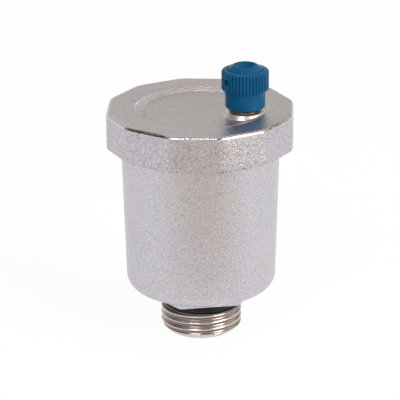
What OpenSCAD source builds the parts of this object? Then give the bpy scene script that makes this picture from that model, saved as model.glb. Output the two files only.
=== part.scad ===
// Automatic air release valve: float chamber with a screwed 12-sided cover, a lever valve and a vent cap.
// Millimetres, +Z up. The origin is the centre of the spigot's end face; the vent stands on +X.

/* [Inlet spigot] */
// Outside diameter of the inlet thread, G 1/2
thread_d = 20.955; // [18:0.005:24]
// Length of the threaded spigot
spigot_len = 7.1; // [6:0.1:14]
// Height of the lead-in bevel at the spigot's end
lead_in = 1.7; // [0.5:0.05:2]
// Bevel at the inner end of the thread
run_out = 0.4; // [0.1:0.05:0.8]
// Diameter of the inlet bore
inlet_d = 13; // [8:0.5:14]

/* [Thread seal] */
// Section diameter of the ring under the wrench collar
ring_section = 2.4; // [1.4:0.1:2.6]
// How far the ring lies inside the thread's outside
ring_sink = 0.08; // [0:0.01:0.3]
// Free height over the ring
ring_room = 0.9; // [0.1:0.05:1]

/* [Wrench collar] */
// Step from the thread out to the collar's flats
collar_step = 3.02; // [1.5:0.01:4]
// Height of the collar
collar_h = 1.1; // [0.8:0.05:6]
// Turn of the collar's corners about the axis, in degrees
collar_turn = 27; // [0:1:60]

/* [Body] */
// Diameter of the float chamber
chamber_d = 34.4; // [33:0.2:42]
// Height of the body from its bottom to the cover
body_h = 39.4; // [34:0.2:60]
// Draft of the body's wall, in degrees
body_draft = 1.7; // [0.2:0.1:2.5]
// Radius of the rounded bottom edge
body_edge_r = 3.5; // [3:0.1:6]
// Rise of the body's underside from the collar outwards, in degrees
body_rise = 12; // [0:0.5:18]
// Thickness of the chamber's floor
floor_t = 2.5; // [2:0.1:3.2]
// Wall of the threaded neck
neck_wall = 2.3; // [1.8:0.1:3]
// Width of the shoulder that the cover seats on
shoulder_w = 0.85; // [0.6:0.05:2]

/* [Cover] */
// Number of sides
cover_sides = 12; // [12]
// Overhang of the cover's flats past the body
cover_overhang = 3.35; // [2:0.05:5]
// Height of the cover
cover_h = 9.5; // [8:0.1:12]
// Bevel along the upper and lower edges
cover_bevel = 0.6; // [0.2:0.05:1.2]
// Width of the flat rim around the dish
rim_w = 6.7; // [5:0.1:9]
// Depth of the dish
dish_depth = 0.9; // [0.3:0.1:1.5]
// Width of the dish's sloping side
dish_slope = 2.7; // [0.5:0.1:4]
// Thickness of the roof under the dish
roof_t = 2.3; // [1.6:0.1:3.2]
// Thickness of the gasket on the neck
gasket_t = 1; // [0.6:0.1:1.6]
// Setback of the gasket's edges from the neck's edges
gasket_setback = 0.2; // [0.1:0.05:0.4]

/* [Vent nozzle] */
// Diameter of the cap thread
nozzle_d = 7; // [6:0.1:8.4]
// Length of the cap thread
nozzle_len = 4.65; // [4:0.05:6]
// Step from the cap thread out to the flange
flange_step = 0.7; // [0.4:0.05:1.2]
// Thickness of the flange
flange_t = 0.4; // [0.4:0.05:1]
// Diameter of the shank through the cover
shank_d = 5; // [4:0.1:5.6]
// Diameter of the nozzle's bore
nozzle_bore_d = 2.2; // [1.6:0.1:2.6]
// Diameter of the seat's orifice
orifice_d = 1.2; // [0.8:0.1:1.4]
// Wall of the lips around the orifice and around the mouth
lip_wall = 0.6; // [0.4:0.05:0.8]
// Height of both lips
lip_h = 0.4; // [0.2:0.05:0.8]
// Step from the flange out to the boss on the cover
boss_step = 1.1; // [0.8:0.05:2.5]
// Height of the boss over the rim
boss_h = 0.6; // [0.3:0.1:2]
// Depth of the seal's pocket in the boss
seal_t = 0.8; // [0.5:0.1:1]
// Width of the seal around the shank
seal_w = 1; // [0.6:0.1:1.4]
// Wall of the nut across its flats
nut_wall = 1.5; // [1.2:0.1:1.9]
// Height of the nut
nut_h = 2.2; // [1.6:0.1:3]
// Thickness of the spring washer
washer_t = 0.7; // [0.4:0.1:1]
// Split of the spring washer
washer_split = 0.6; // [0.3:0.1:1]

/* [Vent cap] */
// Gap between the flange and the closed cap
cap_gap = 0.2; // [0.1:0.05:0.6]
// Wall of the skirt around the thread
skirt_wall = 1.55; // [1:0.01:2]
// Height of the skirt
skirt_h = 4.9; // [4:0.1:6]
// Rounding of the skirt's lower edge
skirt_edge_r = 0.6; // [0.2:0.05:0.9]
// Step from the skirt out to the knurl
knurl_step = 0.9; // [0.6:0.01:1.6]
// Height of the knurled band
knurl_h = 5.25; // [4.6:0.05:7]
// Rounding of the knurl's upper edge
knurl_edge_r = 0.4; // [0.3:0.05:1]
// Number of flutes in a full round
flutes = 42; // [24:2:48]
// Diameter of a flute
flute_d = 0.62; // [0.4:0.02:0.7]
// Smooth band between the flutes and the rounded upper edge
flute_stop = 0.06; // [0.05:0.01:0.5]
// Flutes left out beside the side vent, on each side of it
flutes_skipped = 1; // [0:1:3]
// Width of the sloping shoulder between the knurl and the dome
dome_shoulder = 1.5; // [1:0.02:2]
// Rise of the shoulder
shoulder_rise = 0.25; // [0:0.05:0.5]
// Inward slope of the dome's side
dome_slope = 1.5; // [0.4:0.05:2]
// Height of the dome and its shoulder
dome_h = 1; // [0.6:0.05:1.6]
// Wall around the recess in the dome
recess_wall = 0.4; // [0.3:0.05:0.8]
// Inward slope of the recess's side
recess_slope = 1; // [0:0.05:1.4]
// Depth of the recess
recess_depth = 1.3; // [0.8:0.05:2]
// Roof between the recess and the air space
cap_roof = 0.9; // [0.6:0.05:1.4]
// Diameter of the side vent
side_vent_d = 1.55; // [0.8:0.05:2]
// Height of the side vent over the knurl's lower edge
side_vent_h = 2.55; // [1:0.05:4]
// Direction of the side vent, in degrees from +X
side_vent_turn = -127; // [-180:1:180]
// Thickness of the cap's seal
cap_seal_t = 1.2; // [0.9:0.1:1.6]
// Inset of the cap's seal from the thread
cap_seal_inset = 1.2; // [1:0.1:1.5]
// Wall of the hub that holds the seal
hub_wall = 0.55; // [0.4:0.05:0.7]
// Depth of the seal's seat in the hub
hub_seat = 0.7; // [0.4:0.05:0.8]

/* [Lever valve] */
// Swing of the lever from hanging float to closed seat, in degrees
lever_drop = 21; // [16:0.5:22]
// Thickness of the lever
lever_t = 2.4; // [2:0.1:3]
// Width of the lever
lever_w = 5; // [4.4:0.1:5.6]
// Thickness of the lever's web under its ribs
lever_web = 1.2; // [0.8:0.1:1.6]
// Thickness of the ribs along the lever's sides
lever_rib = 0.8; // [0.6:0.1:1.2]
// Diameter of the pivot pin
pin_d = 1.6; // [1.2:0.1:1.8]
// Radius of the lever's hub around the pin
hub_r = 1.9; // [1.6:0.1:2.1]
// Diameter of the pad
pad_d = 3; // [2.6:0.1:3.2]
// Depth of the pad's pocket
pad_sink = 1.4; // [1:0.1:1.6]
// Height of the pad over the lever
pad_proud = 0.5; // [0.3:0.05:0.8]
// Wall between the pad's pocket and the pin
arm_wall = 0.45; // [0.35:0.05:0.8]
// Thickness of the bracket's sheet
sheet_t = 0.8; // [0.6:0.1:1]
// Half width of a bracket cheek
cheek_half = 1.4; // [1.2:0.05:1.6]
// Length of the bracket's plate behind the nozzle
plate_back = 4.2; // [3.6:0.1:6]
// Radius of the pin's head and of its clip
head_r = 1.25; // [1.1:0.05:1.3]
// Thickness of the pin's head and of its clip
head_t = 0.45; // [0.3:0.05:0.6]
// Depth of the clip's groove in the pin
clip_groove = 0.2; // [0.1:0.05:0.3]
// Wire diameter of the torsion spring
spring_wire = 0.4; // [0.3:0.05:0.45]
// Radius of the spring's coil
spring_r = 1.3; // [1.2:0.05:1.5]
// Room along the pin for the spring
spring_room = 1.8; // [1.6:0.1:2.2]
// Length of the spring's leg under the lever
spring_leg = 6; // [5:0.5:8]

/* [Float] */
// Gap between the float and the chamber's wall
float_gap = 3; // [2:0.1:4]
// Gap between the hanging float and the floor
float_floor_gap = 2.4; // [1.5:0.1:4]
// Wall of the float's shell
float_wall = 1.2; // [0.8:0.1:2]
// Rounding of the float's lower edge
float_edge_r = 3; // [2:0.1:5]
// Thickness of the float's lid
lid_t = 1.6; // [1.2:0.1:2.4]
// Depth of the lid's collar in the shell
lid_collar = 1.2; // [0.8:0.1:2]
// Wire diameter of the float's bail
wire_d = 1.2; // [1:0.05:1.4]
// Bend radius of the bail
bail_bend = 1.2; // [1:0.05:1.4]
// Depth of the bail's legs in the lid
bail_depth = 4; // [3:0.1:6]
// Wall of the lever's eye and of the lid's sockets
eye_wall = 1.15; // [0.9:0.05:1.4]
// Half width of the lever's eye
eye_half = 1.7; // [1.4:0.1:2]
// Play of the bail in the lever's eye, beyond its clearance
eye_play = 0.55; // [0.5:0.05:0.8]
// Free height between the lever's eye and the lid
lid_gap = 0.75; // [0.5:0.05:1.5]

/* [Clearances] */
// Radial clearance of screwed and pushed-in pieces
fit = 0.05; // [0.02:0.01:0.1]
// Gap between the pad and the seat when the lever is level
seat_gap = 0.05; // [0.02:0.01:0.2]
// Gap around the bail in the lever's eye
eye_gap = 0.4; // [0.3:0.05:0.6]
// Gap between the nut and the bracket's cheeks
nut_gap = 0.2; // [0.1:0.05:0.5]
// Gap between the bracket and the chamber's wall
wall_gap = 0.34; // [0.2:0.02:1]
// Gap between the lever's hub and a cheek
side_gap = 0.25; // [0.15:0.05:0.5]

/* [Hidden] */
$fn = 96;
// Overshoot of cutting tools past the surface that they open
over = 1;

// Heights from the spigot's end up to the cover
thread_r = thread_d / 2;
z_collar = spigot_len + ring_section + ring_room;
z_body = z_collar + collar_h;
z_floor = z_body + floor_t;
z_cover = z_body + body_h;
z_top = z_cover + cover_h;
z_dish = z_top - dish_depth;
z_roof = z_dish - roof_t;
z_neck = z_roof - gasket_t;

// Radii of the body and the cover
ring_r = thread_r - ring_sink - ring_section / 2;
groove_r = ring_r - ring_section / 2;
collar_af = thread_d + 2 * collar_step;
chamber_r = chamber_d / 2;
neck_r = chamber_r + neck_wall;
body_r = neck_r + shoulder_w;
cover_apothem = body_r + cover_overhang;
cover_r = cover_apothem / cos(180 / cover_sides);
dish_r = cover_apothem - rim_w;
chamber_edge_r = max(0.5, body_edge_r - floor_t);

// Bracket and nozzle: the pivot lies as near to the chamber's wall as the cheeks allow
nut_af = shank_d + 2 * nut_wall;
cheek_in = nut_af / 2 + nut_gap;
cheek_out = cheek_in + sheet_t;
seat_arm = pad_d / 2 + pin_d / 2 + arm_wall;
pin_x = sqrt(pow(chamber_r - wall_gap, 2) - pow(cheek_out, 2)) - cheek_half;
vent_x = pin_x - seat_arm;
shank_r = shank_d / 2;
nozzle_r = nozzle_d / 2;
flange_r = nozzle_r + flange_step;
boss_r = flange_r + boss_step;

// Heights of the vent, upward from the boss
z_boss = z_top + boss_h;
z_flange = z_boss + flange_t;
z_nozzle = z_flange + nozzle_len;
z_mouth = z_nozzle + lip_h;
z_cap = z_flange + cap_gap;
z_knurl = z_cap + skirt_h;
z_dome = z_knurl + knurl_h;
z_cap_top = z_dome + dome_h;
z_recess = z_cap_top - recess_depth;
z_air = z_recess - cap_roof;
z_cap_seal = z_mouth + cap_seal_t;

// Radii of the cap
cap_bore_r = nozzle_r + fit;
skirt_r = cap_bore_r + skirt_wall;
knurl_r = skirt_r + knurl_step;
dome_r = knurl_r - dome_shoulder;
dome_top_r = dome_r - dome_slope;
recess_r = dome_top_r - recess_wall;
cap_seal_r = nozzle_r - cap_seal_inset;
cap_hub_r = cap_seal_r + fit + hub_wall;

// Heights of the lever valve, downward from the roof
z_plate = z_roof - sheet_t;
z_washer = z_plate - washer_t;
z_nut = z_washer - nut_h;
z_shank = z_nut - lip_h;
z_seat = z_shank - lip_h;
z_pin = z_seat - seat_gap - pad_proud - lever_t / 2;

// Lever and float: the eye swings equally far to both sides of the float's axis
hook_arm = 2 * pin_x / (1 + cos(lever_drop));
wire_r = wire_d / 2;
eye_hole_r = wire_r + eye_gap + eye_play;
eye_r = eye_hole_r + eye_wall;
z_hook = z_pin - hook_arm * sin(lever_drop);
z_lid = z_hook + eye_play * cos(lever_drop) - eye_r - lid_gap;
z_float = z_floor + float_floor_gap;
float_r = chamber_r - float_gap;
leg_y = eye_half + eye_gap + wire_r;
hub_in = cheek_in - spring_room;

nickel = [0.74, 0.73, 0.72];
brass = [0.80, 0.64, 0.33];
steel = [0.68, 0.69, 0.71];
rubber = [0.09, 0.09, 0.10];
blue = [0.09, 0.34, 0.52];
acetal = [0.90, 0.89, 0.84];

// Cylinder along Y, centred on the XZ point, from y1 to y2
module y_rod(r, y1, y2) {
    translate([0, y1, 0]) rotate([-90, 0, 0]) cylinder(r = r, h = y2 - y1);
}

// Flat ring that stands on z1
module ring(r_in, r_out, z1, z2) {
    translate([0, 0, z1]) difference() {
        cylinder(r = r_out, h = z2 - z1);
        translate([0, 0, -over]) cylinder(r = r_in, h = z2 - z1 + 2 * over);
    }
}

// Places its children at the nozzle's axis
module at_vent() {
    translate([vent_x, 0, 0]) children();
}

// Places its children at the pivot, turned with the hanging lever
module at_lever() {
    translate([pin_x, 0, z_pin]) rotate([0, -lever_drop, 0]) children();
}

// Half profile of a drafted cup with a rounded lower edge; its underside rises from foot_r outwards
module cup_profile(z_low, z_high, r_high, edge_r, draft, rise = 0, foot_r = 0) {
    z_apex = z_low - foot_r * tan(rise) + edge_r / cos(rise);
    edge_x = (r_high - (z_high - z_apex) * tan(draft) - edge_r / cos(draft)) / (1 - tan(rise) * tan(draft));
    edge_z = z_apex + edge_x * tan(rise);
    polygon(concat([[0, z_low]], foot_r > 0 ? [[foot_r, z_low]] : [], [
        [edge_x + edge_r * sin(rise), edge_z - edge_r * cos(rise)],
        [edge_x + edge_r * cos(draft), edge_z - edge_r * sin(draft)],
        [r_high, z_high],
        [0, z_high]
    ]));
    translate([edge_x, edge_z]) intersection() {
        circle(r = edge_r);
        translate([0, -edge_r]) square([edge_r, edge_r]);
    }
}

module body() {
    color(nickel) difference() {
        union() {
            rotate_extrude() polygon([
                [0, 0],
                [thread_r - lead_in, 0],
                [thread_r, lead_in],
                [thread_r, spigot_len - run_out],
                [thread_r - run_out, spigot_len],
                [groove_r, spigot_len],
                [groove_r, z_floor],
                [0, z_floor]
            ]);
            translate([0, 0, z_collar]) rotate([0, 0, collar_turn])
                cylinder(d = collar_af / cos(30), h = collar_h + floor_t / 2, $fn = 6);
            rotate_extrude()
                cup_profile(z_body, z_cover, body_r, body_edge_r, body_draft, body_rise, collar_af / 2);
            translate([0, 0, z_cover - over]) cylinder(r = neck_r, h = z_neck - z_cover + over);
        }
        rotate_extrude() cup_profile(z_floor, z_neck + over, chamber_r, chamber_edge_r, 0);
        translate([0, 0, -over]) cylinder(d = inlet_d, h = z_floor + 2 * over);
    }
}

// Straight bevels along one ring of edges
module edge_bevels(z) {
    side = 2 * cover_apothem * tan(180 / cover_sides);
    for (i = [0 : cover_sides - 1])
        rotate([0, 0, (i + 0.5) * 360 / cover_sides]) translate([cover_apothem, 0, z]) rotate([0, 45, 0])
            cube([cover_bevel * sqrt(2), side + 2 * cover_bevel, cover_bevel * sqrt(2)], center = true);
}

module cover() {
    color(nickel) difference() {
        union() {
            difference() {
                translate([0, 0, z_cover]) cylinder(r = cover_r, h = cover_h, $fn = cover_sides);
                edge_bevels(z_top);
                edge_bevels(z_cover);
                rotate_extrude() polygon([
                    [0, z_dish],
                    [dish_r - dish_slope, z_dish],
                    [dish_r, z_top],
                    [dish_r, z_top + over],
                    [0, z_top + over]
                ]);
            }
            at_vent() translate([0, 0, z_roof]) cylinder(r = boss_r, h = z_boss - z_roof);
        }
        translate([0, 0, z_cover - over]) cylinder(r = neck_r + fit, h = z_roof - z_cover + over);
        at_vent() cylinder(r = shank_r + fit, h = z_boss + over);
        at_vent() translate([0, 0, z_boss - seal_t]) cylinder(r = shank_r + seal_w, h = seal_t + over);
    }
}

module cover_gasket() {
    color(rubber) ring(chamber_r + gasket_setback, neck_r - gasket_setback, z_neck, z_roof);
}

module thread_o_ring() {
    color(rubber) rotate_extrude() translate([ring_r, spigot_len + ring_section / 2])
        circle(d = ring_section, $fn = 48);
}

module vent_nozzle() {
    bore_r = nozzle_bore_d / 2;
    hole_r = orifice_d / 2;
    z_step = z_roof;
    color(brass) at_vent() rotate_extrude() polygon([
        [hole_r, z_seat],
        [hole_r + lip_wall, z_seat],
        [hole_r + lip_wall, z_shank],
        [shank_r, z_shank],
        [shank_r, z_boss],
        [flange_r, z_boss],
        [flange_r, z_flange],
        [nozzle_r, z_flange],
        [nozzle_r, z_nozzle - lip_h],
        [nozzle_r - lip_h, z_nozzle],
        [bore_r + lip_wall, z_nozzle],
        [bore_r + lip_wall, z_mouth],
        [bore_r, z_mouth],
        [bore_r, z_step],
        [hole_r, z_step - (bore_r - hole_r)]
    ]);
}

module nozzle_seal() {
    color(rubber) at_vent() ring(shank_r + fit, shank_r + seal_w - fit, z_boss - seal_t, z_boss);
}

module nozzle_nut() {
    color(brass) at_vent() difference() {
        translate([0, 0, z_nut]) cylinder(d = nut_af / cos(30), h = nut_h, $fn = 6);
        translate([0, 0, z_nut - over]) cylinder(r = shank_r + fit, h = nut_h + 2 * over);
    }
}

module nut_washer() {
    washer_r = nut_af / 2;
    color(steel) at_vent() difference() {
        ring(shank_r + fit, washer_r, z_washer, z_plate);
        translate([-washer_r - over, -washer_split / 2, z_washer - over])
            cube([washer_r + over, washer_split, washer_t + 2 * over]);
    }
}

module lever_bracket() {
    plate_x = vent_x - plate_back;
    color(steel) difference() {
        union() {
            translate([plate_x, -cheek_out, z_plate])
                cube([pin_x + cheek_half - plate_x, 2 * cheek_out, sheet_t]);
            for (side = [-1, 1]) {
                low_y = side < 0 ? -cheek_out : cheek_in;
                translate([pin_x - cheek_half, low_y, z_pin]) cube([2 * cheek_half, sheet_t, z_roof - z_pin]);
                translate([pin_x, 0, z_pin]) y_rod(cheek_half, low_y, low_y + sheet_t);
            }
        }
        at_vent() translate([0, 0, z_plate - over]) cylinder(r = shank_r + fit, h = sheet_t + 2 * over);
        translate([pin_x, 0, z_pin]) y_rod(pin_d / 2 + fit, -cheek_out - over, cheek_out + over);
    }
}

module lever_pin() {
    pin_r = pin_d / 2;
    tail = cheek_out + 2 * head_t;
    color(steel) translate([pin_x, 0, z_pin]) difference() {
        union() {
            y_rod(pin_r, -cheek_out - head_t, tail);
            y_rod(head_r, -cheek_out - head_t, -cheek_out);
        }
        difference() {
            y_rod(pin_r + over, cheek_out, cheek_out + head_t);
            y_rod(pin_r - clip_groove, cheek_out - over, tail + over);
        }
    }
}

module pin_clip() {
    grip_r = pin_d / 2 - clip_groove + fit;
    color(steel) translate([pin_x, 0, z_pin]) difference() {
        y_rod(head_r, cheek_out, cheek_out + head_t);
        y_rod(grip_r, cheek_out - over, cheek_out + head_t + over);
        translate([-grip_r, cheek_out - over, -head_r - over])
            cube([2 * grip_r, head_t + 2 * over, head_r + over]);
    }
}

// Round wire through the centres: across is square to every heading and lies in every section
module bent_wire(centres, headings, across, d) {
    sides = 12;
    last = len(centres) - 1;
    points = [for (i = [0 : last]) for (k = [0 : sides - 1])
        let (a = k * 360 / sides)
        centres[i] + d / 2 * (cos(a) * across + sin(a) * cross(headings[i], across))];
    walls = [for (i = [0 : last - 1]) for (k = [0 : sides - 1])
        let (low = i * sides, high = low + sides, next = (k + 1) % sides)
        [low + k, low + next, high + next, high + k]];
    first_end = [for (k = [sides - 1 : -1 : 0]) k];
    last_end = [for (k = [0 : sides - 1]) last * sides + k];
    polyhedron(points, concat(walls, [first_end, last_end]), convexity = 6);
}

// Torsion spring on the pin: a leg down from the bracket's plate, the coil, and a leg under the lever
module lever_spring() {
    steps = 48;
    turn = 720 + 90 - lever_drop;
    y_plate_leg = cheek_in - spring_wire;
    y_lever_leg = hub_in + spring_wire;
    coil = [for (i = [0 : steps])
        let (t = i / steps, a = t * turn, y = y_plate_leg + (y_lever_leg - y_plate_leg) * t)
        [pin_x + spring_r * cos(a), y, z_pin - spring_r * sin(a)]];
    coil_heads = [for (i = [0 : steps]) let (a = i / steps * turn) [-sin(a), 0, -cos(a)]];
    leg_top = [pin_x + spring_r, y_plate_leg, z_plate - fit];
    leg_end = coil[steps] + spring_leg * coil_heads[steps];
    centres = concat([leg_top], coil, [leg_end]);
    headings = concat([coil_heads[0]], coil_heads, [coil_heads[steps]]);
    color(steel) bent_wire(centres, headings, [0, 1, 0], spring_wire);
}

module lever() {
    ribs_x = seat_arm + pad_d / 2 + lever_rib;
    eye_x = hook_arm - eye_r;
    tab_x = spring_leg - lever_rib;
    color(acetal) at_lever() difference() {
        union() {
            y_rod(hub_r, -cheek_in + side_gap, hub_in);
            translate([-eye_x, -lever_w / 2, -lever_t / 2]) cube([eye_x, lever_w, lever_t]);
            translate([-hook_arm, -eye_half, -lever_t / 2]) cube([hook_arm, 2 * eye_half, lever_t]);
            translate([-hook_arm, 0, eye_play]) y_rod(eye_r, -eye_half, eye_half);
            translate([-tab_x, 0, -spring_r + spring_wire / 2 + 2 * fit])
                cube([2 * lever_rib, hub_in + 2 * spring_wire, lever_t / 2]);
        }
        y_rod(pin_d / 2 + fit, -cheek_in, cheek_in);
        translate([-seat_arm, 0, lever_t / 2 - pad_sink]) cylinder(d = pad_d, h = pad_sink + over);
        translate([-hook_arm, 0, eye_play]) y_rod(eye_hole_r, -eye_half - over, eye_half + over);
        translate([lever_rib - eye_x, lever_rib - lever_w / 2, -lever_t / 2 - over])
            cube([eye_x - lever_rib - ribs_x, lever_w - 2 * lever_rib, lever_t - lever_web + over]);
    }
}

module valve_pad() {
    color(rubber) at_lever() translate([-seat_arm, 0, lever_t / 2 - pad_sink])
        cylinder(r = pad_d / 2 - fit, h = pad_sink + pad_proud);
}

module float_shell() {
    z_rim = z_lid - lid_t;
    color(acetal) rotate_extrude() difference() {
        cup_profile(z_float, z_rim, float_r, float_edge_r, 0);
        cup_profile(z_float + float_wall, z_rim + over, float_r - float_wall, float_edge_r - float_wall, 0);
    }
}

module float_lid() {
    z_under = z_lid - lid_t;
    z_socket = z_lid - bail_depth;
    collar_r = float_r - float_wall - fit;
    color(acetal) difference() {
        union() {
            translate([0, 0, z_under]) cylinder(r = float_r, h = lid_t);
            ring(collar_r - float_wall, collar_r, z_under - lid_collar, z_under + lid_t / 2);
            for (side = [-1, 1]) translate([0, side * leg_y, z_socket - lid_t])
                cylinder(r = wire_r + eye_wall, h = bail_depth);
        }
        for (side = [-1, 1]) translate([0, side * leg_y, z_socket])
            cylinder(r = wire_r + fit, h = bail_depth + over);
    }
}

// Wire bail: up from one socket, through the lever's eye, and down into the other socket
module float_hook() {
    steps = 8;
    bend_y = leg_y - bail_bend;
    bend_z = z_hook - bail_bend;
    z_leg = z_lid - bail_depth;
    angles = [for (i = [0 : steps]) i * 90 / steps];
    centres = concat(
        [[0, -leg_y, z_leg]],
        [for (a = angles) [0, -bend_y - bail_bend * cos(a), bend_z + bail_bend * sin(a)]],
        [for (a = angles) [0, bend_y + bail_bend * sin(a), bend_z + bail_bend * cos(a)]],
        [[0, leg_y, z_leg]]
    );
    headings = concat(
        [[0, 0, 1]],
        [for (a = angles) [0, sin(a), cos(a)]],
        [for (a = angles) [0, cos(a), -sin(a)]],
        [[0, 0, -1]]
    );
    color(steel) bent_wire(centres, headings, [1, 0, 0], wire_d);
}

module cap_profile() {
    difference() {
        union() {
            translate([0, z_cap + skirt_edge_r]) square([skirt_r, skirt_h]);
            translate([0, z_cap]) square([skirt_r - skirt_edge_r, skirt_h]);
            translate([skirt_r - skirt_edge_r, z_cap + skirt_edge_r]) circle(r = skirt_edge_r);
            translate([0, z_knurl]) square([knurl_r, knurl_h - knurl_edge_r]);
            translate([knurl_r - knurl_edge_r, z_dome - knurl_edge_r]) circle(r = knurl_edge_r);
            polygon([
                [0, z_knurl],
                [knurl_r - knurl_edge_r, z_knurl],
                [knurl_r - knurl_edge_r, z_dome],
                [dome_r, z_dome + shoulder_rise],
                [dome_top_r, z_cap_top],
                [0, z_cap_top]
            ]);
        }
        polygon([
            [0, z_recess],
            [recess_r - recess_slope, z_recess],
            [recess_r, z_cap_top],
            [recess_r, z_cap_top + over],
            [0, z_cap_top + over]
        ]);
        translate([0, z_cap - over]) square([cap_seal_r + fit, z_cap_seal - z_cap + over]);
        translate([0, z_cap - over]) square([cap_bore_r, z_cap_seal - hub_seat - z_cap + over]);
        translate([cap_hub_r, z_cap - over]) square([cap_bore_r - cap_hub_r, z_air - z_cap + over]);
    }
}

module vent_cap() {
    z_side_vent = z_knurl + side_vent_h;
    step = 360 / flutes;
    flute_h = knurl_h - knurl_edge_r - flute_stop;
    color(blue) at_vent() rotate([0, 0, side_vent_turn]) difference() {
        rotate_extrude() cap_profile();
        for (i = [flutes_skipped + 0.5 : flutes - flutes_skipped - 0.5]) rotate([0, 0, i * step])
            translate([knurl_r, 0, z_knurl - over]) cylinder(d = flute_d, h = flute_h + over, $fn = 24);
        translate([(cap_hub_r + cap_bore_r) / 2, 0, z_side_vent]) rotate([0, 90, 0])
            cylinder(d = side_vent_d, h = knurl_r);
    }
}

module cap_seal() {
    color(rubber) at_vent() translate([0, 0, z_mouth]) cylinder(r = cap_seal_r, h = cap_seal_t);
}

body();
cover();
cover_gasket();
thread_o_ring();
vent_nozzle();
nozzle_seal();
nozzle_nut();
nut_washer();
lever_bracket();
lever_pin();
pin_clip();
lever_spring();
lever();
valve_pad();
float_shell();
float_lid();
float_hook();
vent_cap();
cap_seal();
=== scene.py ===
import math

import bmesh
import bpy
from mathutils import Matrix, Vector
from mathutils.geometry import delaunay_2d_cdt


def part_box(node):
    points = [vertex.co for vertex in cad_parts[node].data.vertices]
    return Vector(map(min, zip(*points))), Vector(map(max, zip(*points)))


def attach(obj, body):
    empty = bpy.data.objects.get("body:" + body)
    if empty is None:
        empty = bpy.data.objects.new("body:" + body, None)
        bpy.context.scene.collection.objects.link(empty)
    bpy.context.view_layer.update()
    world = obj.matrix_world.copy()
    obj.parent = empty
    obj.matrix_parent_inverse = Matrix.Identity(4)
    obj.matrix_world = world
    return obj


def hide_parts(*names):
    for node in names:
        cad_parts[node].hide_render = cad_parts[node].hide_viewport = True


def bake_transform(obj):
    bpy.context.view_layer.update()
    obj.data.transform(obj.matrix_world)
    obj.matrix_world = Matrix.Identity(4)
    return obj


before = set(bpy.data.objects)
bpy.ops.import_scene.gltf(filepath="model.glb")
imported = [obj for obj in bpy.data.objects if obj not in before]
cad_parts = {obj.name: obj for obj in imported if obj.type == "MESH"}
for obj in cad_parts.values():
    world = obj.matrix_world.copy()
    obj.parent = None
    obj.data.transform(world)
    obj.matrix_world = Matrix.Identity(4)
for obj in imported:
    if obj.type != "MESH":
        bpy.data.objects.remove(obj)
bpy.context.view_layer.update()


# Body: a hot-forged brass cup with a hexagonal wrench collar, shot-blasted and nickel plated.
# The G 1/2 thread and the groove for the ring are turned afterwards, so they are smoother and brighter.
mm = 0.001
body_spokes = 288
thread_r = 10.4775 * mm
thread_pitch = 1.814 * mm
thread_depth = 0.62 * mm
thread_rounding = 0.22
thread_start = 0.73
thread_steps = 32
spigot_h = 7.1 * mm
lead_in = 1.7 * mm
run_out = 0.4 * mm
inlet_r = 6.5 * mm
inlet_bevel = 0.5 * mm
groove_r = 7.9975 * mm
collar_z = 10.4 * mm
collar_flat = 13.4975 * mm
collar_corner_r = 1.8 * mm
collar_turn = math.radians(27)
collar_edge_r = 0.35 * mm
collar_fillet = 0.4 * mm
cup_z = 11.5 * mm
cup_edge_r = 3.5 * mm
cup_rise = math.radians(12)
cup_draft = math.radians(1.7)
cup_floor_z = 14 * mm
chamber_r = 17.2 * mm
chamber_edge_r = 1 * mm
neck_r = 19.5 * mm
cover_low, cover_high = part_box("cover")
cover_z = cover_low.z
neck_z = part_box("body")[1].z
cup_r = 20.35 * mm
small_edge = 0.25 * mm
hair_edge = 0.02 * mm


def polygon_radius(angle, apothem, sides, corner_r, first_corner):
    """Distance from the axis to the outline of a regular polygon with rounded corners."""
    half = math.pi / sides
    from_flat = (angle - first_corner) % (2 * half) - half
    centre = (apothem - corner_r) / math.cos(half)
    if abs(apothem * math.tan(from_flat)) <= centre * math.sin(half):
        return apothem / math.cos(from_flat)
    from_corner = half - abs(from_flat)
    aside = centre * math.sin(from_corner)
    return centre * math.cos(from_corner) + math.sqrt(corner_r**2 - aside**2)


def thread_fall(turns, rounding):
    """Share of the thread's depth below its crest, for a place along the axis counted in turns."""
    t = abs(2 * (turns % 1) - 1)
    if t < rounding:
        return t * t / (2 * rounding * (1 - rounding))
    if t > 1 - rounding:
        return 1 - (1 - t) ** 2 / (2 * rounding * (1 - rounding))
    return (t - rounding / 2) / (1 - rounding)


def ring_of(spokes, place, centre=(0, 0)):
    """Ring of points about a vertical axis: place gives the radius and height at an angle."""
    points = []
    for k in range(spokes):
        angle = 2 * math.pi * k / spokes
        r, z = place(angle)
        points.append((centre[0] + r * math.cos(angle), centre[1] + r * math.sin(angle), z))
    return points


def turned(spokes, profile, centre=(0, 0)):
    """One ring for each (radius, height) of a turned profile."""
    return [ring_of(spokes, lambda angle, p=p: p, centre) for p in profile]


def arc(centre_r, centre_z, radius, start, stop, steps):
    """Points of a profile along an arc, with angles in degrees from the outward direction."""
    points = []
    for i in range(steps + 1):
        a = math.radians(start + (stop - start) * i / steps)
        points.append((centre_r + radius * math.cos(a), centre_z + radius * math.sin(a)))
    return points


def add_rings(bm, rings, wrap=False):
    """Adds quads between neighbouring rings of equally many points."""
    rows = [[bm.verts.new(p) for p in ring] for ring in rings]
    pairs = list(zip(rows, rows[1:]))
    if wrap:
        pairs.append((rows[-1], rows[0]))
    for low, high in pairs:
        for k in range(len(low)):
            n = (k + 1) % len(low)
            bm.faces.new((low[k], low[n], high[n], high[k]))


crease = math.radians(40)


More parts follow.
